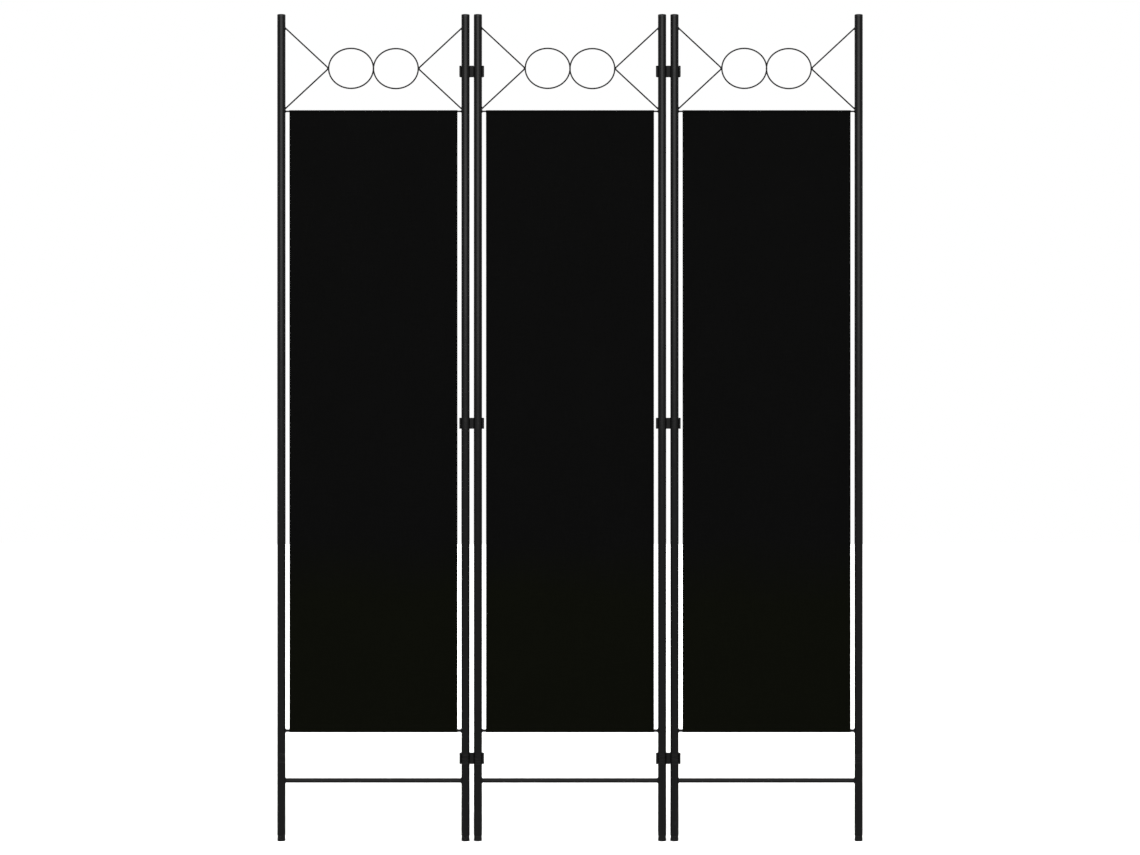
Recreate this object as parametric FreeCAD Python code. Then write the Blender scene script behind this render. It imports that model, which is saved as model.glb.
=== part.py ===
"""A folding room divider: three tall steel-tube panels with hung cloth, joined by snap clips.

Units are millimetres.  +X is to the right, +Y to the back and +Z up.  The origin is on the floor
under the middle of the middle panel, in the plane of the post axes.  The screen stands opened flat.
"""

import FreeCAD, Part
import os
from math import sqrt

# ---------------------------------------------------------------- driving dimensions

SCREEN_HEIGHT = 1800.0          # floor to the crown of the caps
PANEL_POST_PITCH = 401.0        # between the two post axes of one panel
CLIP_PITCH = 27.0               # between the two post axes at a hinge line
PANEL_NAMES = ("left", "middle", "right")

POST_DIAMETER = 18.0
POST_WALL = 0.8

CAP_HEIGHT = 7.5                # part of the cap that stands above the tube
CAP_CROWN_RISE = 0.8
CAP_EDGE_RADIUS = 1.2
CAP_RIM_BEVEL = 0.4             # round the head's lower edge, so that its seam on the tube shows
CAP_SPIGOT_LENGTH = 18.0
PLUG_CLEARANCE = 0.05           # radial, between a plug's spigot and the tube's bore

FOOT_PAD_HEIGHT = 7.0
FOOT_PAD_INSET = 0.2            # how far the pad's side lies inside the tube's skin
FOOT_PAD_BEVEL = 0.6            # round the pad's upper edge
FOOT_SOLE_ROUNDING = 1.5
FOOT_NECK_HEIGHT = 5.5
FOOT_NECK_INSET = 0.55
FOOT_SPIGOT_LENGTH = 22.0

CROSSBAR_DIAMETER = 10.0
CROSSBAR_WALL = 0.8
CROSSBAR_HEIGHT = 131.5         # heights are above the floor, and drops are below the crown
CROSSBAR_TAPER_LENGTH = 4.0
CROSSBAR_MOUTH_INSET = 0.8      # how far the drawn-down ends lie inside the bar's skin

TOP_ROD_DIAMETER = 3.4
TOP_ROD_DROP = 211.6
BOTTOM_ROD_DIAMETER = 6.0
BOTTOM_ROD_HEIGHT = 240.0

CLOTH_THICKNESS = 0.7
CLOTH_POST_GAP = 8.5            # open slit between the cloth's edge and the post
SLEEVE_CLEARANCE = 0.2          # radial, between a rod and the sleeve sewn round it

WIRE_DIAMETER = 3.2             # scroll rings and struts
RING_HALF_WIDTH = 48.7          # of the wire's centre line
RING_HALF_HEIGHT = 43.5
RING_CENTRE_DROP = 118.2
UPPER_STRUT_DROP = 30.5         # where an upper strut's axis meets the post's skin
LOWER_STRUT_RISE = 5.8          # of a lower strut's end above the top rod

CLIP_HEIGHT = 24.0
TOP_CLIP_DROP = 124.5           # to the clips' middles
CENTRE_CLIP_HEIGHT = 909.2
BOTTOM_CLIP_HEIGHT = 179.5
CLIP_JAW_WALL = 4.45
CLIP_RUNNING_CLEARANCE = 0.06   # radial, so that the post turns in the jaw
CLIP_LIP_REACH = 4.2            # how far the lips pass in front of the post's axis
CLIP_LIP_ROUNDING = 1.6
CLIP_END_BEVEL = 0.7            # round the clip's upper and lower faces
CLIP_WEB_BACK = 7.0             # how far the web between the jaws reaches behind the axes

# ---------------------------------------------------------------- derived dimensions

POST_RADIUS = POST_DIAMETER / 2
POST_BORE_RADIUS = POST_RADIUS - POST_WALL
POST_BOTTOM = FOOT_PAD_HEIGHT + FOOT_NECK_HEIGHT
POST_TOP = SCREEN_HEIGHT - CAP_HEIGHT
SPIGOT_RADIUS = POST_BORE_RADIUS - PLUG_CLEARANCE
PANEL_PITCH = PANEL_POST_PITCH + CLIP_PITCH
POST_OFFSETS = {"left": -PANEL_POST_PITCH / 2, "right": PANEL_POST_PITCH / 2}

TOP_ROD_HEIGHT = SCREEN_HEIGHT - TOP_ROD_DROP
RING_CENTRE_HEIGHT = SCREEN_HEIGHT - RING_CENTRE_DROP
STRUT_HEIGHTS = {"upper": SCREEN_HEIGHT - UPPER_STRUT_DROP, "lower": TOP_ROD_HEIGHT + LOWER_STRUT_RISE}
WIRE_RADIUS = WIRE_DIAMETER / 2
CLIP_HEIGHTS = {
    "top": SCREEN_HEIGHT - TOP_CLIP_DROP,
    "centre": CENTRE_CLIP_HEIGHT,
    "bottom": BOTTOM_CLIP_HEIGHT,
}

SIDES = {"left": -1, "right": 1}
UP = FreeCAD.Vector(0, 0, 1)
ALONG_X = FreeCAD.Vector(1, 0, 0)
ALONG_Y = FreeCAD.Vector(0, 1, 0)


def vector(x, y, z):
    return FreeCAD.Vector(x, y, z)


def revolved(edges):
    """Turns a closed outline of edges, in the XZ plane, about the Z axis."""
    return Part.Face(Part.Wire(edges)).revolve(vector(0, 0, 0), UP, 360)


def polygon(corners):
    """The edges of a closed outline through (radius, height) corners."""
    points = [vector(radius, 0, height) for radius, height in corners]
    return Part.makePolygon(points + points[:1]).Edges


def cylinder_between(start, end, radius):
    return Part.makeCylinder(radius, start.distanceToPoint(end), start, end - start)


# ---------------------------------------------------------------- pieces of one panel


def post_tube():
    """One steel upright, on the Z axis, open at both ends for its plugs."""
    length = POST_TOP - POST_BOTTOM
    tube = Part.makeCylinder(POST_RADIUS, length, vector(0, 0, POST_BOTTOM))
    bore = Part.makeCylinder(POST_BORE_RADIUS, length, vector(0, 0, POST_BOTTOM))
    return tube.cut(bore)


def top_cap():
    """A moulded plug: a spigot in the tube, and a head of the tube's width with a shallow crown."""
    crown_edge_radius = POST_RADIUS - CAP_EDGE_RADIUS
    crown_edge_height = SCREEN_HEIGHT - CAP_CROWN_RISE
    rim_top = crown_edge_height - CAP_EDGE_RADIUS
    spigot_end = POST_TOP - CAP_SPIGOT_LENGTH
    sphere_radius = (crown_edge_radius**2 + CAP_CROWN_RISE**2) / (2 * CAP_CROWN_RISE)
    half_way = crown_edge_radius / 2
    half_way_drop = sphere_radius - sqrt(sphere_radius**2 - half_way**2)
    edge_middle = CAP_EDGE_RADIUS / sqrt(2)

    axis_top = vector(0, 0, SCREEN_HEIGHT)
    crown_middle = vector(half_way, 0, SCREEN_HEIGHT - half_way_drop)
    crown_edge = vector(crown_edge_radius, 0, crown_edge_height)
    rounding_middle = vector(crown_edge_radius + edge_middle, 0, rim_top + edge_middle)
    rim_upper = vector(POST_RADIUS, 0, rim_top)
    rim_lower = vector(POST_RADIUS, 0, POST_TOP + CAP_RIM_BEVEL)
    rim_seat = vector(POST_RADIUS - CAP_RIM_BEVEL, 0, POST_TOP)
    spigot_root = vector(SPIGOT_RADIUS, 0, POST_TOP)
    spigot_tip = vector(SPIGOT_RADIUS, 0, spigot_end)
    axis_bottom = vector(0, 0, spigot_end)
    return revolved([
        Part.Arc(axis_top, crown_middle, crown_edge).toShape(),
        Part.Arc(crown_edge, rounding_middle, rim_upper).toShape(),
        Part.makeLine(rim_upper, rim_lower),
        Part.makeLine(rim_lower, rim_seat),
        Part.makeLine(rim_seat, spigot_root),
        Part.makeLine(spigot_root, spigot_tip),
        Part.makeLine(spigot_tip, axis_bottom),
        Part.makeLine(axis_bottom, axis_top),
    ])


def is_sole_rim(edge):
    """True for the round edge of a foot's sole."""
    return isinstance(edge.Curve, Part.Circle) and edge.CenterOfMass.z < FOOT_PAD_BEVEL


def foot_plug():
    """A moulded foot: a flat-soled pad, a narrower neck, and a spigot in the tube."""
    pad_radius = POST_RADIUS - FOOT_PAD_INSET
    neck_radius = POST_RADIUS - FOOT_NECK_INSET
    spigot_top = POST_BOTTOM + FOOT_SPIGOT_LENGTH
    plug = revolved(polygon([
        (0, 0),
        (pad_radius, 0),
        (pad_radius, FOOT_PAD_HEIGHT - FOOT_PAD_BEVEL),
        (pad_radius - FOOT_PAD_BEVEL, FOOT_PAD_HEIGHT),
        (neck_radius, FOOT_PAD_HEIGHT),
        (neck_radius, POST_BOTTOM),
        (SPIGOT_RADIUS, POST_BOTTOM),
        (SPIGOT_RADIUS, spigot_top),
        (0, spigot_top),
    ]))
    return plug.makeFillet(FOOT_SOLE_ROUNDING, [edge for edge in plug.Edges if is_sole_rim(edge)])


def post_skins():
    """The two uprights of a panel as full cylinders, to cope what is welded between them."""
    left = Part.makeCylinder(POST_RADIUS, SCREEN_HEIGHT, vector(POST_OFFSETS["left"], 0, 0))
    right = Part.makeCylinder(POST_RADIUS, SCREEN_HEIGHT, vector(POST_OFFSETS["right"], 0, 0))
    return left.fuse(right)


def welded_rod(diameter, height):
    """A round bar from post to post, its ends coped to the posts' skins."""
    start = vector(POST_OFFSETS["left"], 0, height)
    end = vector(POST_OFFSETS["right"], 0, height)
    return cylinder_between(start, end, diameter / 2).cut(post_skins())


def crossbar():
    """The lowest bar: a thin tube whose ends are drawn down to a smaller mouth at each post."""
    outer = CROSSBAR_DIAMETER / 2
    mouth = outer - CROSSBAR_MOUTH_INSET
    end = PANEL_POST_PITCH / 2
    mouth_start = end - POST_RADIUS
    taper_start = mouth_start - CROSSBAR_TAPER_LENGTH
    skin = [
        (mouth, -end),
        (mouth, -mouth_start),
        (outer, -taper_start),
        (outer, taper_start),
        (mouth, mouth_start),
        (mouth, end),
    ]
    bore = [(radius - CROSSBAR_WALL, along) for radius, along in reversed(skin)]
    bar = revolved(polygon(skin + bore))
    bar.rotate(vector(0, 0, 0), ALONG_Y, 90)
    bar.translate(vector(0, 0, CROSSBAR_HEIGHT))
    return bar.cut(post_skins())


def cloth():
    """The hung cloth with its two sewn sleeves, as one closed piece."""
    width = PANEL_POST_PITCH - POST_DIAMETER - 2 * CLOTH_POST_GAP
    start = -width / 2
    height = TOP_ROD_HEIGHT - BOTTOM_ROD_HEIGHT
    piece = Part.makeBox(
        width, CLOTH_THICKNESS, height, vector(start, -CLOTH_THICKNESS / 2, BOTTOM_ROD_HEIGHT)
    )
    rods = ((TOP_ROD_DIAMETER, TOP_ROD_HEIGHT), (BOTTOM_ROD_DIAMETER, BOTTOM_ROD_HEIGHT))
    for rod_diameter, rod_height in rods:
        bore = rod_diameter / 2 + SLEEVE_CLEARANCE
        outside = bore + CLOTH_THICKNESS
        centre = vector(start, 0, rod_height)
        piece = piece.fuse(Part.makeCylinder(outside, width, centre, ALONG_X))
        piece = piece.cut(Part.makeCylinder(bore, width, centre, ALONG_X))
    return piece.removeSplitter()


def scroll_depth(side):
    """How far a side's wires lie from the plane of the posts: the two rings lap where they meet."""
    return SIDES[side] * WIRE_RADIUS


def ring(side):
    """A closed oval of wire.  The two ovals of a panel touch at its middle, one behind the other."""
    centre = vector(SIDES[side] * RING_HALF_WIDTH, scroll_depth(side), RING_CENTRE_HEIGHT)
    widest = centre + vector(RING_HALF_WIDTH, 0, 0)
    highest = centre + vector(0, 0, RING_HALF_HEIGHT)
    path = Part.Wire(Part.Ellipse(widest, highest, centre).toShape())
    section = Part.Wire(Part.makeCircle(WIRE_RADIUS, widest, UP))
    return path.makePipeShell([section], True, False)


def strut(side, level):
    """A straight wire from a post to the outermost point of that side's ring."""
    depth = scroll_depth(side)
    skin_reach = sqrt(POST_RADIUS**2 - depth**2)
    at_post = vector(SIDES[side] * (PANEL_POST_PITCH / 2 - skin_reach), depth, STRUT_HEIGHTS[level])
    at_ring = vector(SIDES[side] * 2 * RING_HALF_WIDTH, depth, RING_CENTRE_HEIGHT)
    direction = (at_ring - at_post).normalize()
    start = at_post - direction * POST_RADIUS
    end = at_ring - direction * WIRE_RADIUS / 2
    wire = cylinder_between(start, end, WIRE_RADIUS)
    # The two struts of a side meet in a mitre at the ring's middle height.
    room = PANEL_POST_PITCH
    lowest = RING_CENTRE_HEIGHT if level == "upper" else RING_CENTRE_HEIGHT - room
    half_space = Part.makeBox(2 * room, room, room, vector(-room, -room / 2, lowest))
    return wire.common(half_space).cut(post_skins()).cut(ring(side))


# ---------------------------------------------------------------- hinge clip


def clip_block():
    """The clip before its edges are eased: two jaws open to the front, with a web between them."""
    bore = POST_RADIUS + CLIP_RUNNING_CLEARANCE
    outside = bore + CLIP_JAW_WALL
    half_pitch = CLIP_PITCH / 2
    lip_face = -CLIP_LIP_REACH
    width = CLIP_PITCH + 2 * outside
    block = Part.makeBox(
        CLIP_PITCH, CLIP_LIP_REACH + CLIP_WEB_BACK, CLIP_HEIGHT, vector(-half_pitch, lip_face, 0)
    )
    axes = [vector(-half_pitch, 0, 0), vector(half_pitch, 0, 0)]
    for axis in axes:
        block = block.fuse(Part.makeCylinder(outside, CLIP_HEIGHT, axis))
    mouths = Part.makeBox(width, outside, CLIP_HEIGHT, vector(-width / 2, lip_face - outside, 0))
    block = block.cut(mouths)
    for axis in axes:
        block = block.cut(Part.makeCylinder(bore, CLIP_HEIGHT, axis))
    return block.removeSplitter()


def is_lip_corner(edge):
    """True for the upright edges where the lips' front face meets the bores and the outside."""
    middle = edge.CenterOfMass
    upright = edge.BoundBox.ZLength > CLIP_HEIGHT / 2
    return upright and abs(middle.y + CLIP_LIP_REACH) < CLIP_RUNNING_CLEARANCE


def is_end_edge(edge):
    """True for an edge that lies in the clip's upper or lower face."""
    return edge.BoundBox.ZLength < CLIP_RUNNING_CLEARANCE


def hinge_clip(height):
    """A moulded double snap clip that two posts turn in, centred at the given height."""
    clip = clip_block()
    clip = clip.makeFillet(CLIP_LIP_ROUNDING, [edge for edge in clip.Edges if is_lip_corner(edge)])
    clip = clip.makeChamfer(CLIP_END_BEVEL, [edge for edge in clip.Edges if is_end_edge(edge)])
    clip.translate(vector(0, 0, height - CLIP_HEIGHT / 2))
    return clip


# ---------------------------------------------------------------- the whole screen


def panel_pieces():
    """Every piece of one panel, about that panel's own middle, by its name within the panel."""
    pieces = {
        "top_rod": welded_rod(TOP_ROD_DIAMETER, TOP_ROD_HEIGHT),
        "bottom_rod": welded_rod(BOTTOM_ROD_DIAMETER, BOTTOM_ROD_HEIGHT),
        "crossbar": crossbar(),
        "cloth": cloth(),
    }
    for side, offset in POST_OFFSETS.items():
        for name, piece in (("post", post_tube()), ("cap", top_cap()), ("foot", foot_plug())):
            piece.translate(vector(offset, 0, 0))
            pieces[f"{side}_{name}"] = piece
        pieces[f"{side}_ring"] = ring(side)
        for level in ("upper", "lower"):
            pieces[f"{side}_{level}_strut"] = strut(side, level)
    return pieces


def export(shape, name):
    solids = shape.Solids
    if len(solids) != 1 or not solids[0].isValid():
        raise ValueError(f"{name} is not one valid solid")
    solids[0].exportStep(os.path.join("parts", f"{name}.step"))


def main():
    os.makedirs("parts", exist_ok=True)
    pieces = panel_pieces()
    for index, panel in enumerate(PANEL_NAMES):
        shift = vector((index - 1) * PANEL_PITCH, 0, 0)
        for name, piece in pieces.items():
            copy = piece.copy()
            copy.translate(shift)
            export(copy, f"{panel}_panel_{name}")
    for side, sign in SIDES.items():
        for level, height in CLIP_HEIGHTS.items():
            clip = hinge_clip(height)
            clip.translate(vector(sign * PANEL_PITCH / 2, 0, 0))
            export(clip, f"{side}_clip_{level}")


main()
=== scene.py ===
"""The looks of a three-panel folding screen: black paint, moulded plastic and sewn cloth.

Units are metres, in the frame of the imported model: +X to the right, +Y to the back, +Z up, and the
origin on the floor under the middle panel.  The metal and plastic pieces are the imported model's own,
with finer materials.  The cloth, its stitching and the weld beads are built here.
"""

import random
from math import acos, cos, exp, pi, sin, sqrt

import bpy
import numpy as np
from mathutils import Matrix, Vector


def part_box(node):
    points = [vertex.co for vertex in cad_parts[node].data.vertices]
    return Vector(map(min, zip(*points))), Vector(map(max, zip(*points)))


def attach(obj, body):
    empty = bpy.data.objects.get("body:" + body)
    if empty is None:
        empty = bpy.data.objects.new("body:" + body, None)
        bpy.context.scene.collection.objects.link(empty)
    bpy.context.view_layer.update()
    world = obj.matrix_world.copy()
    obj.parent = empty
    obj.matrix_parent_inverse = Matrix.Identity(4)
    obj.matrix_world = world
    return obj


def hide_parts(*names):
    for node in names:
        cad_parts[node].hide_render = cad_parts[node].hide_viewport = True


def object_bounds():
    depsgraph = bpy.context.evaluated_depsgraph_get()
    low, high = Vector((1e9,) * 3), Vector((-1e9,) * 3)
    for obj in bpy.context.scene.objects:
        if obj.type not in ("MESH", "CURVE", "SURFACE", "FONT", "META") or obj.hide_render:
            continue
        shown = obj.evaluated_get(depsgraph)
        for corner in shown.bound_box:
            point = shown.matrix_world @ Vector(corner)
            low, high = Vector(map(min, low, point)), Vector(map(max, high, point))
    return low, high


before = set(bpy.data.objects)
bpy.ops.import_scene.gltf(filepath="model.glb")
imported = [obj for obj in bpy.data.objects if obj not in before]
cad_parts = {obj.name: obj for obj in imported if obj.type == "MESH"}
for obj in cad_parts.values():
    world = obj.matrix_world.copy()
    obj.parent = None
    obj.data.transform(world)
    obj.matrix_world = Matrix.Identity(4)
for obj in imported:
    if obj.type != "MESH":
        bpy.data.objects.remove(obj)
cad_low, cad_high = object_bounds()

PANELS = ("left", "middle", "right")
SIDES = {"left": -1, "right": 1}
CLIP_LEVELS = ("top", "centre", "bottom")

# ---------------------------------------------------------------- cloth

CLOTH_THICKNESS = 0.0004
LAYER = CLOTH_THICKNESS * 1.1   # from one layer of cloth to the next, where it is folded
SIDE_HEM = 0.009                # width folded to the back along each side
FLAP = 0.014                    # the sleeve's turned-back end, from the rod's axis
FLAP_POINTS = 7
SEAM_DROP = {"top": 0.0046, "bottom": 0.0066}   # from the rod's axis to where the sleeve closes
FLAP_LIFT = CLOTH_THICKNESS * 2.2               # room for the side hems under the flap
FLAP_LIFT_REACH = SIDE_HEM * 1.8                # how far inside the hem a flap lies flat again
FACE_Y = -0.55 * CLOTH_THICKNESS                # the front layer's middle, where a flap lies behind it
SLEEVE_ARC_POINTS = 26
SLEEVE_FLANK_SHARES = (0.12, 0.30, 0.55, 0.80)  # points between the seam and the sleeve's round part
HEM_SHARES = (1.0, 0.6, 0.25)                   # points across a side hem
FOLD_TURNS = (0.25, 0.5, 0.75)                  # points round its fold, as shares of half a turn

PUCKER_STRAIN = 0.010           # how much longer the cut edge is than the seam that gathers it
PUCKER_REACH = 0.070            # how far from the seam the cloth is flat again
START_RIPPLE = 0.0009           # of the sheet before it settles
RIPPLE_WAVES = 9
RIPPLE_PITCHES = (90, 260)      # of those waves, in radians per metre
SEAM_CALM = 0.006               # how far from the seam the ripple starts
LENGTH_TENSION = 0.002          # how much the rods stretch the sheet
CLOTH_COLUMNS = 60
CLOTH_ROWS = 168
CLOTH_FRAMES = 30
FIRST_SEED = 100
SMOOTHING_PASSES = 2
MAX_DRIFT = ((-0.0006, -0.0022, -0.0006), (0.0006, 0.0022, 0.0006))   # of a settled point
CLOTH_SETTINGS = {
    "quality": 6,
    "mass": 0.005,
    "tension_stiffness": 30,
    "compression_stiffness": 30,
    "shear_stiffness": 12,
    "bending_stiffness": 0.5,
    "tension_damping": 20,
    "compression_damping": 20,
    "air_damping": 4,
}

# ---------------------------------------------------------------- stitching

STITCH_LENGTH = 0.0026
STITCH_GAP = 0.0007
THREAD_RADIUS = 0.00019
# Along a stitch: the share of its length, and its rise and girth as shares of the thread's radius.
STITCH_PROFILE = ((0.0, -0.9, 0.6), (0.14, 0.25, 1.0), (0.86, 0.25, 1.0), (1.0, -0.9, 0.6))
THREAD_CORNERS = 6
SEAM_MARGIN = 0.0012            # from where the sleeve closes to its stitches
EDGE_MARGIN = 0.0018            # from a turned edge to the stitches that hold it

# ---------------------------------------------------------------- welds

BEAD_LEG = {"top_rod": 0.0013, "bottom_rod": 0.0017, "crossbar": 0.0019, "strut": 0.0012}
CROSSBAR_NECKING = 0.0006       # how far the crossbar is drawn down where it is welded
BEAD_RIPPLE = 0.0011            # from one ripple of a bead to the next
FEWEST_RIPPLES = 8
STEPS_PER_RIPPLE = 5
BEAD_SWELL = 0.08               # how much a ripple swells the bead
BEAD_UNEVENNESS = 0.10          # how much it swells twice round the bar
BEAD_BULGE = 0.16               # the rise of its face, as a share of its leg
BEAD_SHARES = (0.0, 0.2, 0.4, 0.6, 0.8, 1.0)    # points across its face
BEAD_SINK = 0.00006             # how far a bead's edges lie under the skins that it joins
BEAD_ROOT = 3 * BEAD_SINK       # how far its root lies under both
SLANT_PASSES = 4                # in which a strut's slant is found
LUMP_STATIONS = 22
LUMP_CORNERS = 14
LUMP_END = 0.02                 # where its flat ends lie, as a share of half a turn
LUMP_LOBES = 3                  # round it, and how much they swell it
LUMP_LOBE_SWELL = 0.07
LUMP_RIPPLES = 7                # along it, and how much they swell it
LUMP_RIPPLE_SWELL = 0.08
LAP_BEAD_RADII = (0.0008, 0.0009, 0.0042)       # where the two rings lap
LAP_BEAD_OFFSET = 0.62          # from the middle of the lap, as a share of the wire's radius
TIP_BEAD_RADII = (0.0015, 0.0018, 0.0027)       # where two struts meet a ring
TIP_BEAD_OFFSET = 0.375 * TIP_BEAD_RADII[0]     # from the wire's skin to the bead's middle

# ---------------------------------------------------------------- surfaces

THREAD_PITCH = 0.00062          # of the weave
RUB_BEYOND = 0.0025             # how far past a clip's edge the rub mark on a post fades out
RUB_INSIDE = 0.001              # how far inside the edge it is full
EDGE_WEAR = 0.0007              # how far from an edge the plastic is polished by use
DUST = (0.060, 0.058, 0.055)

# ---------------------------------------------------------------- view and light

FRAME_SHARE = 0.5136            # the screen's width as a share of the picture's
CAMERA_DISTANCE = 5.5
SENSOR_WIDTH = 36.0             # in millimetres
BACKDROP_LIGHT = 1.0            # what the camera sees behind the screen
AMBIENT_LIGHT = 0.20            # what lights the screen from all round
FLOOR_REACH = 14.0
FLOOR_WASH = {"energy": 6.5, "angle": 1.4}
FLOOR_WASH_TURN = (0.25, 0.1, 0)
# Each softbox's place, the point that it faces, its width and height, and its radiance.
SOFTBOXES = {
    "front_softbox": ((0, -5.2, 2.70), (0, 0, 2.70), 6.6, 2.92, 1.0),
    "back_softbox": ((0, 4.5, 2.7), (0, 0, 1.2), 6.0, 2.6, 0.7),
}


# ================================================================ materials


class Graph:
    """The node tree of one material.  Its methods add a node and return that node's output."""

    def __init__(self, name):
        self.material = bpy.data.materials.new(name)
        self.material.use_nodes = True
        self.nodes = self.material.node_tree.nodes
        self.links = self.material.node_tree.links
        self.shader = self.nodes["Principled BSDF"]
        self.place = self.nodes.new("ShaderNodeTexCoord").outputs["Object"]

    def add(self, kind, inputs, **settings):
        node = self.nodes.new(kind)
        for name, value in settings.items():
            setattr(node, name, value)
        for key, value in inputs.items():
            self.feed(node.inputs[key], value)
        return node

    def feed(self, socket, value):
        if isinstance(value, bpy.types.NodeSocket):
            self.links.new(value, socket)
        else:
            socket.default_value = value

    def set(self, **values):
        """Sets or links inputs of the Principled shader, named with _ for each space."""
        for name, value in values.items():
            self.feed(self.shader.inputs[name.replace("_", " ")], value)

    def math(self, operation, first, second=0.0, third=0.0):
        inputs = {0: first, 1: second, 2: third}
        return self.add("ShaderNodeMath", inputs, operation=operation).outputs[0]

    def stretched(self, x, y, z):
        """The object's coordinates, scaled along each axis."""
        return self.add("ShaderNodeMapping", {"Vector": self.place, "Scale": (x, y, z)}).outputs[0]

    def noise(self, scale, detail=2.0, roughness=0.5, place=None):
        place = place or self.place
        inputs = {"Vector": place, "Scale": scale, "Detail": detail, "Roughness": roughness}
        return self.add("ShaderNodeTexNoise", inputs).outputs["Fac"]

    def ranged(self, value, from_low, from_high, to_low, to_high):
        inputs = {0: value, 1: from_low, 2: from_high, 3: to_low, 4: to_high}
        return self.add("ShaderNodeMapRange", inputs).outputs[0]

    def blend(self, share, first, second):
        """A colour between two colours, given as (r, g, b) or as outputs."""
        mix = self.add("ShaderNodeMix", {"Factor": share}, data_type="RGBA")
        for socket, colour in ((mix.inputs[6], first), (mix.inputs[7], second)):
            self.feed(socket, colour if isinstance(colour, bpy.types.NodeSocket) else (*colour, 1.0))
        return mix.outputs[2]

    def tinted(self, colour, tint):
        """A colour multiplied by another."""
        mix = self.add("ShaderNodeMix", {"Factor": 1.0}, data_type="RGBA", blend_type="MULTIPLY")
        self.feed(mix.inputs[6], colour)
        self.feed(mix.inputs[7], (*tint, 1.0))
        return mix.outputs[2]

    def bump(self, height, depth, below=None):
        """A bump of the given depth in metres, on top of another bump's normal."""
        inputs = {"Height": height, "Strength": 1.0, "Distance": depth}
        if below is not None:
            inputs["Normal"] = below
        return self.add("ShaderNodeBump", inputs).outputs["Normal"]

    def parts(self, vector):
        """The X, Y and Z of a vector."""
        return self.add("ShaderNodeSeparateXYZ", {"Vector": vector}).outputs

    def facing_up(self):
        return self.parts(self.add("ShaderNodeNewGeometry", {}).outputs["Normal"])["Z"]

    def edges(self, radius):
        """1 along the edges of a piece and 0 on its open faces."""
        normal = self.add("ShaderNodeNewGeometry", {}).outputs["Normal"]
        eased = self.add("ShaderNodeBevel", {"Radius": radius}, samples=4).outputs["Normal"]
        likeness = self.add("ShaderNodeVectorMath", {0: normal, 1: eased}, operation="DOT_PRODUCT")
        return self.ranged(likeness.outputs["Value"], 0.999, 0.90, 0.0, 1.0)


def clip_rub(g, height):
    """1 where the clips turn on the posts, in uneven rings, and 0 elsewhere."""
    rubbed = None
    for level in CLIP_LEVELS:
        low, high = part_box(f"left_clip_{level}")
        off_middle = g.math("ABSOLUTE", g.math("SUBTRACT", height, (low.z + high.z) / 2))
        half = (high.z - low.z) / 2
        band = g.ranged(off_middle, half + RUB_BEYOND, half - RUB_INSIDE, 0.0, 1.0)
        rubbed = band if rubbed is None else g.math("MAXIMUM", rubbed, band)
    turning = g.noise(1.0, 3.0, 0.6, g.stretched(60.0, 60.0, 2400.0))
    return g.math("MULTIPLY", rubbed, g.ranged(turning, 0.40, 0.65, 0.0, 1.0))


def satin_paint():
    """Baked black paint on steel: faint orange peel, rub marks at the clips, fine scuffs and dust."""
    g = Graph("satin_black_paint")
    height = g.parts(g.place)["Z"]
    cloudy = g.noise(9.0, 3.0)
    scuffs = g.noise(1.0, 4.0, 0.6, g.stretched(900.0, 900.0, 45.0))
    scuff_mask = g.ranged(g.noise(14.0, 2.0), 0.52, 0.75, 0.0, 1.0)
    scuffed = g.math("MULTIPLY", g.ranged(scuffs, 0.55, 0.75, 0.0, 1.0), scuff_mask)
    rubbed = clip_rub(g, height)
    floor_wear = g.math("MULTIPLY", g.ranged(height, 0.16, 0.0, 0.0, 0.5), g.noise(120.0, 4.0, 0.7))
    dust = g.math("MULTIPLY", g.ranged(g.facing_up(), 0.3, 1.0, 0.0, 0.30), g.noise(300.0, 4.0, 0.7))
    paint = g.blend(cloudy, (0.0125, 0.0125, 0.0130), (0.0185, 0.0185, 0.0185))
    paint = g.blend(g.math("MULTIPLY", scuffed, 0.35), paint, (0.040, 0.039, 0.038))
    paint = g.blend(g.math("MULTIPLY", rubbed, 0.35), paint, (0.034, 0.034, 0.034))
    paint = g.blend(g.math("MULTIPLY", floor_wear, 0.30), paint, (0.046, 0.043, 0.040))
    paint = g.blend(dust, paint, DUST)
    rough = g.ranged(g.noise(45.0, 3.0), 0.3, 0.7, 0.175, 0.235)
    rough = g.math("ADD", rough, g.math("MULTIPLY", scuffed, 0.12))
    rough = g.math("ADD", rough, g.math("MULTIPLY", rubbed, 0.10))
    rough = g.math("ADD", rough, g.math("MULTIPLY", floor_wear, 0.12))
    peel = g.bump(g.noise(420.0, 1.0), 0.000009)
    grain = g.bump(g.noise(2600.0, 2.0), 0.0000016, peel)
    g.set(Base_Color=paint, Roughness=rough, Normal=grain, Specular_IOR_Level=0.5, Metallic=0.0)
    return g.material


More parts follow.
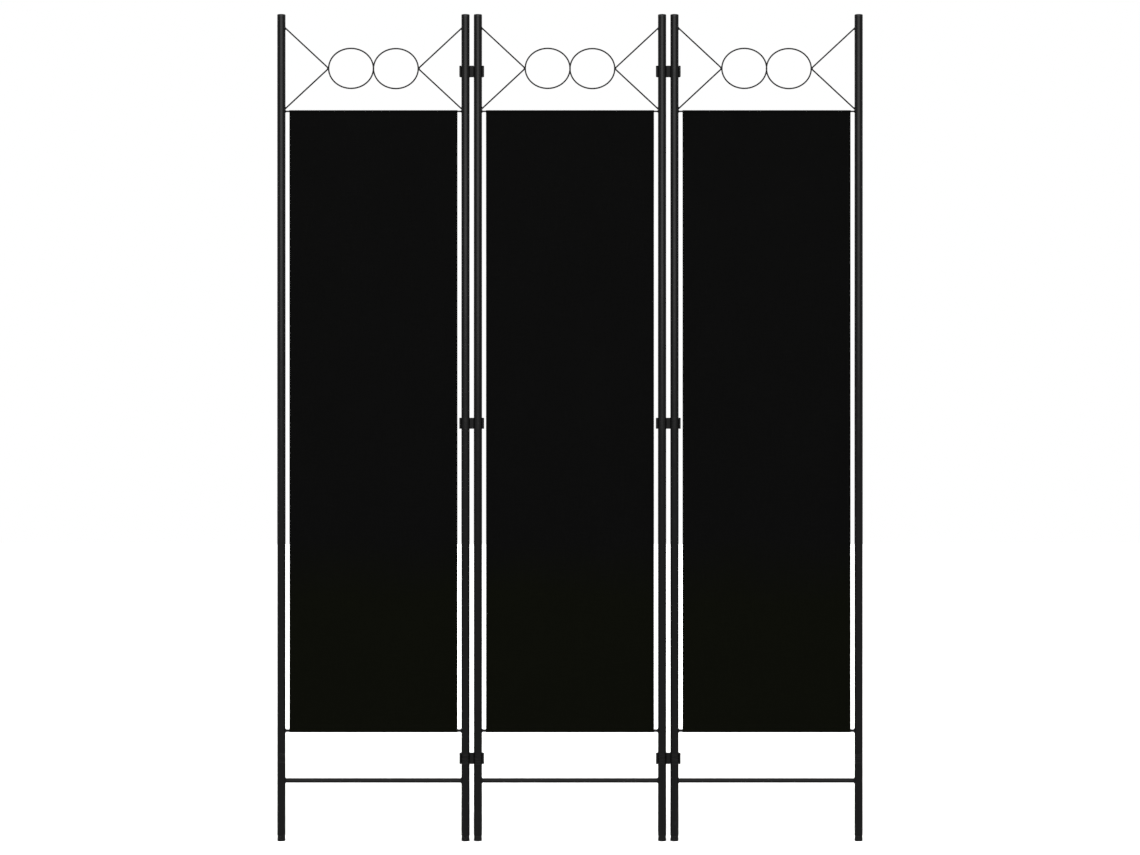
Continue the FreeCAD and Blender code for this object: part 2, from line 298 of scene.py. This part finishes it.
def moulded_plastic(name, roughest, specular):
    """Black moulded plastic: a spark-eroded grain, faint flow marks, and edges polished by use."""
    g = Graph(name)
    flow = g.noise(1.0, 3.0, 0.6, g.stretched(60.0, 60.0, 25.0))
    speckle = g.noise(1800.0, 3.0, 0.7)
    worn = g.math("MULTIPLY", g.edges(EDGE_WEAR), g.ranged(g.noise(160.0, 3.0), 0.40, 0.62, 0.0, 1.0))
    plastic = g.blend(flow, (0.0155, 0.0155, 0.0155), (0.0230, 0.0230, 0.0230))
    plastic = g.blend(g.ranged(speckle, 0.5, 0.8, 0.0, 0.5), plastic, (0.032, 0.032, 0.032))
    plastic = g.blend(g.math("MULTIPLY", worn, 0.5), plastic, (0.044, 0.044, 0.045))
    dust = g.math("MULTIPLY", g.ranged(g.facing_up(), 0.4, 1.0, 0.0, 0.25), g.noise(260.0, 4.0, 0.7))
    plastic = g.blend(dust, plastic, DUST)
    rough = g.ranged(flow, 0.3, 0.7, roughest * 0.82, roughest)
    rough = g.math("SUBTRACT", rough, g.math("MULTIPLY", worn, roughest * 0.25))
    grain = g.bump(speckle, 0.000008)
    grain = g.bump(flow, 0.000060, grain)
    g.set(Base_Color=plastic, Roughness=rough, Normal=grain, Specular_IOR_Level=specular)
    return g.material


def woven_cloth():
    """Black plain-weave polyester: warp, weft and slubs, with painted shade between the threads and a
    painted olive cast of light lower down.
    """
    g = Graph("black_woven_cloth")
    place = g.parts(g.place)
    warp_place = g.math("DIVIDE", place["X"], THREAD_PITCH)
    weft_place = g.math("DIVIDE", place["Z"], THREAD_PITCH)
    warp_round = g.math("ABSOLUTE", g.math("SINE", g.math("MULTIPLY", warp_place, pi)))
    weft_round = g.math("ABSOLUTE", g.math("SINE", g.math("MULTIPLY", weft_place, pi)))
    squares = g.math("ADD", g.math("FLOOR", warp_place), g.math("FLOOR", weft_place))
    warp_over = g.math("PINGPONG", squares, 1.0)
    weft_over = g.math("SUBTRACT", 1.0, warp_over)
    warp_height = g.math("MULTIPLY", warp_round, g.math("MULTIPLY_ADD", warp_over, 0.7, 0.3))
    weft_height = g.math("MULTIPLY", weft_round, g.math("MULTIPLY_ADD", weft_over, 0.7, 0.3))
    weave = g.math("MAXIMUM", warp_height, weft_height)

    warp_slubs = g.noise(1.0, 3.0, 0.6, g.stretched(900.0, 20.0, 22.0))
    weft_slubs = g.noise(1.0, 3.0, 0.6, g.stretched(22.0, 20.0, 900.0))
    slubs = g.math("MAXIMUM", warp_slubs, weft_slubs)
    clouds = g.noise(7.0, 3.0, 0.55)
    # Painted light: the black turns olive lower down, a colour cast of light painted into the cloth's
    # colour.
    lower = g.math("ADD", place["Z"], g.math("MULTIPLY", g.noise(5.0, 2.0), 0.10))
    lower = g.ranged(lower, 0.70, 0.58, 0.0, 1.0)
    # Painted shade: the hollows between the threads are darker than the threads' crowns.
    cloth = g.blend(weave, (0.0030, 0.0030, 0.0029), (0.0087, 0.0087, 0.0085))
    cloth = g.blend(g.ranged(slubs, 0.50, 0.75, 0.0, 0.45), cloth, (0.0143, 0.0143, 0.0140))
    cloth = g.blend(g.ranged(clouds, 0.35, 0.70, 0.0, 0.30), cloth, (0.0048, 0.0048, 0.0046))
    cloth = g.blend(lower, cloth, g.tinted(cloth, (1.09, 1.24, 0.49)))
    rough = g.ranged(weave, 0.0, 1.0, 0.92, 0.74)
    threads = g.bump(weave, 0.00010)
    threads = g.bump(slubs, 0.00008, threads)
    g.set(Base_Color=cloth, Roughness=rough, Normal=threads, Specular_IOR_Level=0.12)
    g.set(Sheen_Weight=0.03, Sheen_Roughness=0.45, Sheen_Tint=(0.9, 0.9, 0.9, 1.0))
    return g.material


def sewing_thread():
    """Twisted black polyester thread."""
    g = Graph("black_sewing_thread")
    strands = g.noise(1.0, 2.0, 0.5, g.stretched(9000.0, 9000.0, 2600.0))
    fuzz = g.noise(3500.0, 3.0, 0.7)
    thread = g.blend(strands, (0.006, 0.006, 0.006), (0.015, 0.015, 0.0145))
    rough = g.ranged(fuzz, 0.3, 0.7, 0.50, 0.66)
    g.set(Base_Color=thread, Roughness=rough, Normal=g.bump(strands, 0.00003), Specular_IOR_Level=0.25)
    return g.material


def finish_cad_nodes(paint):
    """Gives every packed metal and plastic piece its finer material."""
    clip_plastic = moulded_plastic("grained_black_plastic", 0.54, 0.36)
    plug_plastic = moulded_plastic("smooth_black_plastic", 0.30, 0.62)
    for name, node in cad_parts.items():
        if "_clip_" in name:
            material = clip_plastic
        elif name.endswith(("_cap", "_foot")):
            material = plug_plastic
        else:
            material = paint
        for slot in node.material_slots:
            slot.material = material


# ================================================================ meshes


def mesh_object(name, points, faces, material):
    """A smooth-shaded piece with one material."""
    mesh = bpy.data.meshes.new(name)
    mesh.from_pydata([tuple(point) for point in points], [], faces)
    mesh.shade_smooth()
    mesh.materials.append(material)
    piece = bpy.data.objects.new(name, mesh)
    bpy.context.scene.collection.objects.link(piece)
    return piece


def grid_faces(rows, columns):
    """The quads of a grid of points that is stored row by row."""
    faces = []
    for row in range(rows - 1):
        for column in range(columns - 1):
            a = row * columns + column
            faces.append((a, a + 1, a + 1 + columns, a + columns))
    return faces


class Shell:
    """Points and faces that grow, loft by loft, into one mesh."""

    def __init__(self):
        self.points = []
        self.faces = []

    def loft(self, loops, closed=False):
        """Joins loops of equally many points in order; closed joins the last to the first, and
        otherwise both ends are capped."""
        first = len(self.points)
        size = len(loops[0])
        for loop in loops:
            self.points.extend(loop)
        pairs = len(loops) if closed else len(loops) - 1
        for index in range(pairs):
            here = first + index * size
            there = first + (index + 1) % len(loops) * size
            for corner in range(size):
                after = (corner + 1) % size
                self.faces.append((here + corner, here + after, there + after, there + corner))
        if not closed:
            last = first + (len(loops) - 1) * size
            self.faces.append(tuple(range(first + size - 1, first - 1, -1)))
            self.faces.append(tuple(range(last, last + size)))


def path_length(points):
    """The length of a line through points of two coordinates."""
    return sum((Vector(b) - Vector(a)).length for a, b in zip(points, points[1:]))


# ================================================================ cloth


def sleeve_path(rod_height, sleeve_radius, seam_drop, upwards):
    """A sleeve's line as (y, z) points, from its free end behind the cloth, round the rod, to the
    front.  upwards is 1 at the top rod and -1 at the bottom rod, where the path is upside down."""
    lean = acos(sleeve_radius / seam_drop)
    half_gap = -FACE_Y
    path = []
    for index in range(FLAP_POINTS):
        drop = FLAP + (seam_drop - FLAP) * index / (FLAP_POINTS - 1)
        path.append((half_gap, drop))
    flank_y = sleeve_radius * sin(lean)
    flank_drop = sleeve_radius * cos(lean)
    flank = []
    for share in SLEEVE_FLANK_SHARES:
        y = half_gap + (flank_y - half_gap) * share
        flank.append((y, seam_drop + (flank_drop - seam_drop) * share))
    path += flank
    for index in range(SLEEVE_ARC_POINTS + 1):
        angle = lean + (2 * pi - 2 * lean) * index / SLEEVE_ARC_POINTS
        path.append((sleeve_radius * sin(angle), sleeve_radius * cos(angle)))
    path += [(-y, drop) for y, drop in reversed(flank)]
    path.append((-half_gap, seam_drop))
    return [Vector((y, rod_height - upwards * drop)) for y, drop in path]


class PanelCloth:
    """One panel's sheet: hemmed at both sides, and sewn into a sleeve round the rod at each end."""

    def __init__(self, panel):
        self.panel = panel
        low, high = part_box(f"{panel}_panel_cloth")
        self.centre = (low.x + high.x) / 2
        self.half_width = (high.x - low.x) / 2
        self.rods = {}
        for end in ("top", "bottom"):
            rod_low, rod_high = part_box(f"{panel}_panel_{end}_rod")
            self.rods[end] = (rod_low.z + rod_high.z) / 2
        half = CLOTH_THICKNESS / 2
        self.radius = {
            "top": high.z - self.rods["top"] - half,
            "bottom": self.rods["bottom"] - low.z - half,
        }
        self.seam_top = self.rods["top"] - SEAM_DROP["top"]
        self.seam_bottom = self.rods["bottom"] + SEAM_DROP["bottom"]
        self.drift = np.zeros((CLOTH_ROWS + 1, CLOTH_COLUMNS + 1, 3))

    # ------------------------------------------------ simulation

    def start_and_cut(self):
        """The sheet's points as it starts, faintly rippled, and as it was cut."""
        chance = random.Random(FIRST_SEED + PANELS.index(self.panel))
        waves = []
        for _ in range(RIPPLE_WAVES):
            waves.append((chance.uniform(*RIPPLE_PITCHES), chance.uniform(0, 2 * pi)))
        start, cut = [], []
        height = self.seam_top - self.seam_bottom
        middle = (self.seam_top + self.seam_bottom) / 2
        for row in range(CLOTH_ROWS + 1):
            z = self.seam_top - height * row / CLOTH_ROWS
            reach = min(self.seam_top - z, z - self.seam_bottom)
            gather = PUCKER_STRAIN * exp(-reach / (PUCKER_REACH / 2))
            off_seam = 1 - exp(-reach / SEAM_CALM)
            for column in range(CLOTH_COLUMNS + 1):
                x = self.half_width * (2 * column / CLOTH_COLUMNS - 1)
                ripple = sum(sin(x * pitch + phase) for pitch, phase in waves) / len(waves)
                y = START_RIPPLE * ripple * off_seam * exp(-reach / PUCKER_REACH)
                start.append((x, y, z))
                cut.append((x * (1 + gather), 0.0, middle + (z - middle) * (1 - LENGTH_TENSION)))
        return start, cut

    def simulate(self):
        """Lets the cut sheet, slightly wider than the seams that gather it, settle between them."""
        start, cut = self.start_and_cut()
        mesh = bpy.data.meshes.new("settling_cloth")
        mesh.from_pydata(start, [], grid_faces(CLOTH_ROWS + 1, CLOTH_COLUMNS + 1))
        sheet = bpy.data.objects.new("settling_cloth", mesh)
        bpy.context.scene.collection.objects.link(sheet)
        sheet.shape_key_add(name="start")
        key = sheet.shape_key_add(name="cut")
        for index, point in enumerate(cut):
            key.data[index].co = point
        key.value = 0.0
        sewn = sheet.vertex_groups.new(name="sewn")
        across = CLOTH_COLUMNS + 1
        last = CLOTH_ROWS * across
        sewn.add(list(range(across)) + list(range(last, last + across)), 1.0, "REPLACE")
        modifier = sheet.modifiers.new("settle", "CLOTH")
        settings = modifier.settings
        for name, value in CLOTH_SETTINGS.items():
            setattr(settings, name, value)
        settings.effector_weights.gravity = 0.0
        settings.vertex_group_mass = "sewn"
        settings.rest_shape_key = key
        modifier.collision_settings.use_collision = False
        modifier.point_cache.frame_start = 1
        modifier.point_cache.frame_end = CLOTH_FRAMES
        for number in range(1, CLOTH_FRAMES + 1):
            bpy.context.scene.frame_set(number)
        settled = sheet.evaluated_get(bpy.context.evaluated_depsgraph_get())
        points = np.empty(len(start) * 3)
        settled.data.vertices.foreach_get("co", points)
        flat = np.array(start) * (1, 0, 1)
        self.drift = self.smoothed(points.reshape(-1, 3) - flat)
        bpy.data.objects.remove(sheet)
        bpy.data.meshes.remove(mesh)
        bpy.context.scene.frame_set(1)

    def smoothed(self, moved):
        """What the settled points moved, within its bounds and evened out between neighbours."""
        moved = np.clip(moved, *MAX_DRIFT).reshape(self.drift.shape)
        for _ in range(SMOOTHING_PASSES):
            moved[1:-1] = (moved[:-2] + 2 * moved[1:-1] + moved[2:]) / 4
            moved[:, 1:-1] = (moved[:, :-2] + 2 * moved[:, 1:-1] + moved[:, 2:]) / 4
        return moved

    def drift_at(self, x, z):
        """How far the settled cloth lies from its flat place there; nothing beyond the seams."""
        row = (self.seam_top - z) / (self.seam_top - self.seam_bottom) * CLOTH_ROWS
        if not 0 < row < CLOTH_ROWS:
            return Vector((0, 0, 0))
        column = (x / self.half_width + 1) / 2 * CLOTH_COLUMNS
        column = min(max(column, 0), CLOTH_COLUMNS - 1e-6)
        r, c = int(row), int(column)
        down, along = row - r, column - c
        upper = self.drift[r, c] * (1 - along) + self.drift[r, c + 1] * along
        lower = self.drift[r + 1, c] * (1 - along) + self.drift[r + 1, c + 1] * along
        return Vector(upper * (1 - down) + lower * down)

    # ------------------------------------------------ the sheet

    def length_line(self):
        """The sheet's line from its upper free end, over the top rod, down the front, to the lower."""
        top = sleeve_path(self.rods["top"], self.radius["top"], SEAM_DROP["top"], 1)
        bottom = sleeve_path(self.rods["bottom"], self.radius["bottom"], SEAM_DROP["bottom"], -1)
        face = []
        for row in range(1, CLOTH_ROWS):
            z = self.seam_top - (self.seam_top - self.seam_bottom) * row / CLOTH_ROWS
            face.append(Vector((FACE_Y, z)))
        return top + face + bottom[::-1]

    def width_line(self):
        """The sheet's line across, as (x, depth behind the face): hem, fold, face, fold, hem."""
        fold = LAYER / 2
        edge = self.half_width - CLOTH_THICKNESS / 2
        line = []
        for share in HEM_SHARES:
            line.append((SIDE_HEM * share - edge, LAYER))
        for turn in FOLD_TURNS:
            line.append((-(edge - fold + fold * sin(turn * pi)), fold + fold * cos(turn * pi)))
        other_side = [(-x, depth) for x, depth in reversed(line)]
        inner = edge - fold
        for column in range(CLOTH_COLUMNS + 1):
            line.append((inner * (2 * column / CLOTH_COLUMNS - 1), 0.0))
        return line + other_side

    def flap_lift(self, x):
        """How much further back a flap lies there, to pass over a side hem."""
        inside_hem = self.half_width - abs(x) - SIDE_HEM
        return FLAP_LIFT * (1 - min(max(inside_hem / FLAP_LIFT_REACH, 0.0), 1.0))

    def build(self, material):
        """The sheet itself: its line across, carried along its line down the panel."""
        line = self.length_line()
        across = self.width_line()
        points = []
        for index, spot in enumerate(line):
            ahead = line[min(index + 1, len(line) - 1)]
            behind = line[max(index - 1, 0)]
            along = (ahead - behind).normalized()
            inwards = Vector((-along.y, along.x))
            is_flap = index < FLAP_POINTS or index >= len(line) - FLAP_POINTS
            for x, depth in across:
                y = spot.x + inwards.x * depth + (self.flap_lift(x) if is_flap else 0.0)
                z = spot.y + inwards.y * depth
                points.append(Vector((x + self.centre, y, z)) + self.drift_at(x, z))
        name = f"{self.panel}_panel_sewn_cloth"
        piece = mesh_object(name, points, grid_faces(len(line), len(across)), material)
        thicken = piece.modifiers.new("thickness", "SOLIDIFY")
        thicken.thickness = CLOTH_THICKNESS
        thicken.offset = 0.0
        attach(piece, f"{self.panel}_panel")
        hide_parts(f"{self.panel}_panel_cloth")
        self.flat = (path_length(across), path_length(line))
        return piece

    # ------------------------------------------------ its stitching

    def skin(self, x, z, layer):
        """The point on the outer skin of a layer: the face, a side hem behind it, or a flap."""
        half = CLOTH_THICKNESS / 2
        y = {"face": FACE_Y - half, "hem": FACE_Y + LAYER + half, "flap": half - FACE_Y}[layer]
        if layer == "flap":
            y += self.flap_lift(x)
        return Vector((x + self.centre, y, z)) + self.drift_at(x, z)

    def stitch_row(self, shell, start, end, layer):
        """A row of stitches between two (x, z) points.  Each rises from the cloth and dives back."""
        start, end = Vector(start), Vector(end)
        length = (end - start).length
        count = round(length / (STITCH_LENGTH + STITCH_GAP))
        outwards = Vector((0, -1 if layer == "face" else 1, 0))
        heading = (end - start) / length
        along = Vector((heading.x, 0, heading.y))
        sideways = along.cross(outwards)
        share = STITCH_LENGTH / (STITCH_LENGTH + STITCH_GAP)
        for number in range(count):
            loops = []
            for reach, rise, girth in STITCH_PROFILE:
                spot = start + (end - start) * (number + reach * share) / count
                middle = self.skin(spot.x, spot.y, layer) + outwards * THREAD_RADIUS * rise
                loop = []
                for corner in range(THREAD_CORNERS):
                    angle = 2 * pi * corner / THREAD_CORNERS
                    offset = outwards * cos(angle) + sideways * sin(angle)
                    loop.append(middle + offset * THREAD_RADIUS * girth)
                loops.append(loop)
            shell.loft(loops)

    def stitch(self, material):
        """Every seam, seen on the front and on the back."""
        shell = Shell()
        reach = self.half_width - EDGE_MARGIN
        hem = self.half_width - SIDE_HEM + EDGE_MARGIN
        for end, downwards in (("top", -1), ("bottom", 1)):
            closing = self.rods[end] + downwards * (SEAM_DROP[end] + SEAM_MARGIN)
            holding = self.rods[end] + downwards * (FLAP - EDGE_MARGIN)
            for z in (closing, holding):
                for layer in ("face", "flap"):
                    self.stitch_row(shell, (-reach, z), (reach, z), layer)
        high = self.rods["top"] - FLAP - EDGE_MARGIN
        low = self.rods["bottom"] + FLAP + EDGE_MARGIN
        for sign in SIDES.values():
            for layer in ("face", "hem"):
                self.stitch_row(shell, (sign * hem, high), (sign * hem, low), layer)
        piece = mesh_object(f"{self.panel}_panel_cloth_stitching", shell.points, shell.faces, material)
        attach(piece, f"{self.panel}_panel")
        return piece


# ================================================================ welds


def bead_collar(shell, post, start, along, radius, leg, phase):
    """The bead round a bar where it meets a post.  along points from the post to the bar's far end."""
    post_x, post_radius = post
    side = along.cross(Vector((0, 1, 0))).normalized()
    other = along.cross(side)
    ripples = max(round(2 * pi * radius / BEAD_RIPPLE), FEWEST_RIPPLES)
    steps = ripples * STEPS_PER_RIPPLE
    loops = []
    for step in range(steps):
        angle = 2 * pi * step / steps
        off_bar = side * cos(angle) + other * sin(angle)
        spot = start + off_bar * radius
        # Where the bar's skin line through that spot meets the post's skin.
        gap = Vector((spot.x - post_x, spot.y))
        run = Vector((along.x, along.y))
        square, half_linear = run.length_squared, gap.dot(run)
        miss = gap.length_squared - post_radius**2
        distance = (sqrt(half_linear**2 - square * miss) - half_linear) / square
        corner = spot + along * distance
        off_post = Vector((corner.x - post_x, corner.y, 0)).normalized()
        down_post = (off_bar - off_post * off_bar.dot(off_post)).normalized()
        swell = 1 + BEAD_SWELL * sin(ripples * angle + phase)
        swell += BEAD_UNEVENNESS * sin(2 * angle + 2 * phase)
        size = leg * swell
        loop = [corner - (off_bar + off_post) * BEAD_ROOT]
        for share in BEAD_SHARES:
            bulge = BEAD_BULGE * size * 4 * share * (1 - share) * swell
            chord = along * size * (1 - share) + down_post * size * share
            sink = (off_bar * (1 - share) + off_post * share) * BEAD_SINK
            loop.append(corner + chord + (along + down_post).normalized() * bulge - sink)
        loops.append(loop)
    shell.loft(loops, closed=True)


def bead_lump(shell, centre, radii, phase):
    """A short rippled bead, longest along Z, with small flat ends."""
    loops = []
    for station in range(LUMP_STATIONS + 1):
        angle = pi * (LUMP_END + (1 - 2 * LUMP_END) * station / LUMP_STATIONS)
        loop = []
        for corner in range(LUMP_CORNERS):
            turn = 2 * pi * corner / LUMP_CORNERS
            swell = 1 + LUMP_LOBE_SWELL * sin(LUMP_LOBES * turn + phase)
            swell += LUMP_RIPPLE_SWELL * sin(2 * LUMP_RIPPLES * angle + phase)
            flat = sin(angle) * swell
            loop.append(centre + Vector((
                radii[0] * flat * cos(turn),
                radii[1] * flat * sin(turn),
                -radii[2] * cos(angle),
            )))
        loops.append(loop)
    shell.loft(loops)


def ring_tip(panel, side):
    """The middle of the wire at a ring's outer tip, and the wire's radius."""
    low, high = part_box(f"{panel}_panel_{side}_ring")
    radius = (high.y - low.y) / 2
    x = high.x - radius if SIDES[side] > 0 else low.x + radius
    return Vector((x, (low.y + high.y) / 2, (low.z + high.z) / 2)), radius


def strut_direction(panel, side, level):
    """Where a strut's axis points, from its ring's tip to the post."""
    tip, radius = ring_tip(panel, side)
    low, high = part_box(f"{panel}_panel_{side}_{level}_strut")
    post_x = high.x if SIDES[side] > 0 else low.x
    post_z, rise = (high.z, 1) if level == "upper" else (low.z, -1)
    # The strut's box ends at its skin, which lies further from its axis the more it slants.
    slant = 1.0
    for _ in range(SLANT_PASSES):
        along = Vector((post_x - tip.x, 0, post_z - rise * radius * slant - tip.z))
        slant = along.length / abs(along.x)
    return along.normalized()


def weld_panel(panel, material):
    """The beads that join one panel's posts, bars, struts and rings."""
    shell = Shell()
    cloth_low, cloth_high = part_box(f"{panel}_panel_cloth")
    middle_x = (cloth_low.x + cloth_high.x) / 2
    for side, sign in SIDES.items():
        post_low, post_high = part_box(f"{panel}_panel_{side}_post")
        post = ((post_low.x + post_high.x) / 2, (post_high.x - post_low.x) / 2)
        for bar in ("top_rod", "bottom_rod", "crossbar"):
            low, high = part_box(f"{panel}_panel_{bar}")
            radius = (high.z - low.z) / 2 - (CROSSBAR_NECKING if bar == "crossbar" else 0.0)
            start = Vector((post[0], 0, (low.z + high.z) / 2))
            bead_collar(shell, post, start, Vector((-sign, 0, 0)), radius, BEAD_LEG[bar], low.z + sign)
        tip, radius = ring_tip(panel, side)
        for level in ("upper", "lower"):
            towards_post = strut_direction(panel, side, level)
            start = tip + towards_post * (post[0] - tip.x) / towards_post.x
            bead_collar(shell, post, start, -towards_post, radius, BEAD_LEG["strut"], tip.z + sign)
        outside = Vector((sign * (radius + TIP_BEAD_OFFSET), 0, 0))
        bead_lump(shell, tip + outside, TIP_BEAD_RADII, sign)
        lap = Vector((middle_x + sign * radius * LAP_BEAD_OFFSET, 0, tip.z))
        bead_lump(shell, lap, LAP_BEAD_RADII, sign)
    piece = mesh_object(f"{panel}_panel_weld_beads", shell.points, shell.faces, material)
    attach(piece, f"{panel}_panel")


# ================================================================ stage


def add_camera():
    """The camera, straight in front of the screen's middle."""
    width = cad_high.x - cad_low.x
    data = bpy.data.cameras.new("camera")
    data.sensor_width = SENSOR_WIDTH
    data.lens = SENSOR_WIDTH * CAMERA_DISTANCE / (width / FRAME_SHARE)
    camera = bpy.data.objects.new("camera", data)
    camera.location = ((cad_low.x + cad_high.x) / 2, -CAMERA_DISTANCE, (cad_low.z + cad_high.z) / 2)
    camera.rotation_euler = (pi / 2, 0, 0)
    bpy.context.scene.collection.objects.link(camera)
    bpy.context.scene.camera = camera


def add_softbox(name, place, target, width, height, radiance):
    """A rectangular light of an even radiance, which faces the target."""
    data = bpy.data.lights.new(name, "AREA")
    data.shape = "RECTANGLE"
    data.size = width
    data.size_y = height
    data.energy = radiance * pi * width * height
    light = bpy.data.objects.new(name, data)
    light.location = place
    light.rotation_euler = (Vector(target) - Vector(place)).to_track_quat("-Z", "Z").to_euler()
    bpy.context.scene.collection.objects.link(light)


def add_floor():
    """A large pale floor with its own soft wash of light, so that it is as pale as the backdrop."""
    g = Graph("pale_floor")
    tone = g.blend(g.noise(3.0, 2.0), (0.86, 0.86, 0.86), (0.88, 0.88, 0.88))
    g.set(Base_Color=tone, Roughness=0.9, Specular_IOR_Level=0.1)
    corners = []
    for x, y in ((-1, -1), (1, -1), (1, 1), (-1, 1)):
        corners.append((x * FLOOR_REACH, y * FLOOR_REACH, 0))
    floor = mesh_object("floor", corners, [(0, 1, 2, 3)], g.material)
    floor.visible_glossy = False
    floor.visible_diffuse = False

    washed = bpy.data.collections.new("washed")
    washed.objects.link(floor)
    data = bpy.data.lights.new("floor_wash", "SUN")
    data.energy = FLOOR_WASH["energy"]
    data.angle = FLOOR_WASH["angle"]
    wash = bpy.data.objects.new("floor_wash", data)
    wash.rotation_euler = FLOOR_WASH_TURN
    bpy.context.scene.collection.objects.link(wash)
    wash.light_linking.receiver_collection = washed


def add_world():
    """A white backdrop for the camera, and a dimmer, even light all round for the screen itself."""
    world = bpy.data.worlds.new("studio")
    world.use_nodes = True
    nodes, links = world.node_tree.nodes, world.node_tree.links
    nodes.clear()
    backdrop = nodes.new("ShaderNodeBackground")
    ambient = nodes.new("ShaderNodeBackground")
    for node, strength in ((backdrop, BACKDROP_LIGHT), (ambient, AMBIENT_LIGHT)):
        node.inputs["Color"].default_value = (1, 1, 1, 1)
        node.inputs["Strength"].default_value = strength
    rays = nodes.new("ShaderNodeLightPath")
    mix = nodes.new("ShaderNodeMixShader")
    output = nodes.new("ShaderNodeOutputWorld")
    links.new(rays.outputs["Is Camera Ray"], mix.inputs[0])
    links.new(ambient.outputs[0], mix.inputs[1])
    links.new(backdrop.outputs[0], mix.inputs[2])
    links.new(mix.outputs[0], output.inputs[0])
    bpy.context.scene.world = world


# ================================================================ build

bpy.context.scene.view_settings.view_transform = "Standard"
paint, thread, cloth_material = satin_paint(), sewing_thread(), woven_cloth()
finish_cad_nodes(paint)
for panel in PANELS:
    weld_panel(panel, paint)
    cloth = PanelCloth(panel)
    cloth.simulate()
    sheet = cloth.build(cloth_material)
    stitching = cloth.stitch(thread)
add_camera()
add_world()
for name, softbox in SOFTBOXES.items():
    add_softbox(name, *softbox)
add_floor()
